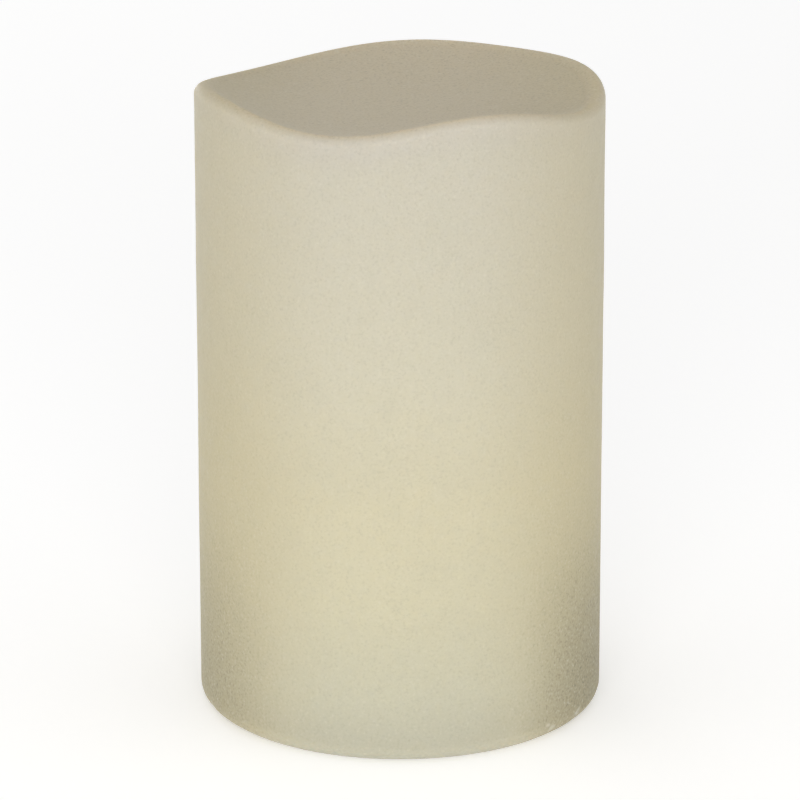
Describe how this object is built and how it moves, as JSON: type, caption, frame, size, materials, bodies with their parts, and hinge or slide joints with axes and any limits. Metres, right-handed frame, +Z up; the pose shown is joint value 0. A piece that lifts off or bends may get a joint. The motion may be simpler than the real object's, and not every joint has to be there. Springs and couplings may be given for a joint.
{
  "type": "flameless led candle",
  "caption": "Ivory wax pillar candle with a melted wavy rim and shallow dished top, lit from inside by an LED module with a battery door and slide switch underneath.",
  "frame": {"origin": "centre of the foot ring, on the surface the candle stands on", "axes": "+Z up along the pillar, -Y the front seen in use, +X to the viewer's right"},
  "size_m": [0.076, 0.076, 0.1223],
  "materials": {
    "wax": "ivory paraffin wax, satin, slightly translucent, fine grain",
    "base_plastic": "moulded ABS, off-white, fine spark texture",
    "cover_plastic": "moulded ABS, natural white",
    "foam": "closed-cell foam, dark grey",
    "cell_steel": "nickel-plated steel can",
    "cell_sleeve": "shrunk plastic sleeve, plain dark green with a copper-coloured band",
    "contact_nickel": "nickel-plated spring steel",
    "board": "green solder mask on fibreglass",
    "chip": "black moulded epoxy",
    "resistor_body": "beige lacquer with colour bands",
    "capacitor_sleeve": "dark blue-black sleeve",
    "switch_metal": "tinned steel",
    "switch_insulation": "brown phenolic laminate",
    "knob_plastic": "black moulded plastic",
    "led_epoxy": "clear warm-white LED epoxy",
    "wire_red": "PVC insulation, red",
    "wire_black": "PVC insulation, black",
    "screw_steel": "zinc-plated steel",
    "hot_melt": "hot-melt adhesive, milky"
  },
  "bodies": {
    "candle": {"wax_shell": "wax", "base_housing": "base_plastic", "module_cover": "cover_plastic", "battery_1": "cell_steel", "battery_2": "cell_steel", "battery_1_sleeve": "cell_sleeve", "battery_2_sleeve": "cell_sleeve", "positive_contact": "contact_nickel", "negative_contact": "contact_nickel", "bridge_contact": "contact_nickel", "negative_spring": "contact_nickel", "bridge_spring": "contact_nickel", "circuit_board": "board", "timer_chip": "chip", "resistor": "resistor_body", "capacitor": "capacitor_sleeve", "crystal": "contact_nickel", "switch_frame": "switch_metal", "switch_base": "switch_insulation", "led_lens": "led_epoxy", "led_leads": "contact_nickel", "led_holder": "knob_plastic", "led_wire_red": "wire_red", "led_wire_black": "wire_black", "supply_wire_red": "wire_red", "supply_wire_black": "wire_black", "cover_screws": "screw_steel", "board_screws": "screw_steel", "adhesive_dabs": "hot_melt"},
    "door": {"battery_door": "base_plastic", "door_pad": "foam"},
    "latch": {"door_latch": "base_plastic"},
    "switch": {"switch_slider": "knob_plastic", "switch_knob": "knob_plastic"}
  },
  "joints": [
    {"name": "battery_door_swing", "type": "hinge", "parent": "candle", "child": "door", "pos_m": [0, -0.01795, 0.00215], "axis": [-1, 0, 0], "range_deg": [0, 90], "deforming": ["door_latch"]},
    {"name": "door_latch_flex", "type": "hinge", "parent": "door", "child": "latch", "pos_m": [0, 0.0186, 0.0095], "axis": [-1, 0, 0], "range_deg": [0, 8], "stiffness_Nm_per_rad": 0.06},
    {"name": "switch_slide", "type": "slide", "parent": "candle", "child": "switch", "axis": [1, 0, 0], "range_m": [0, 0.004]}
  ]
}
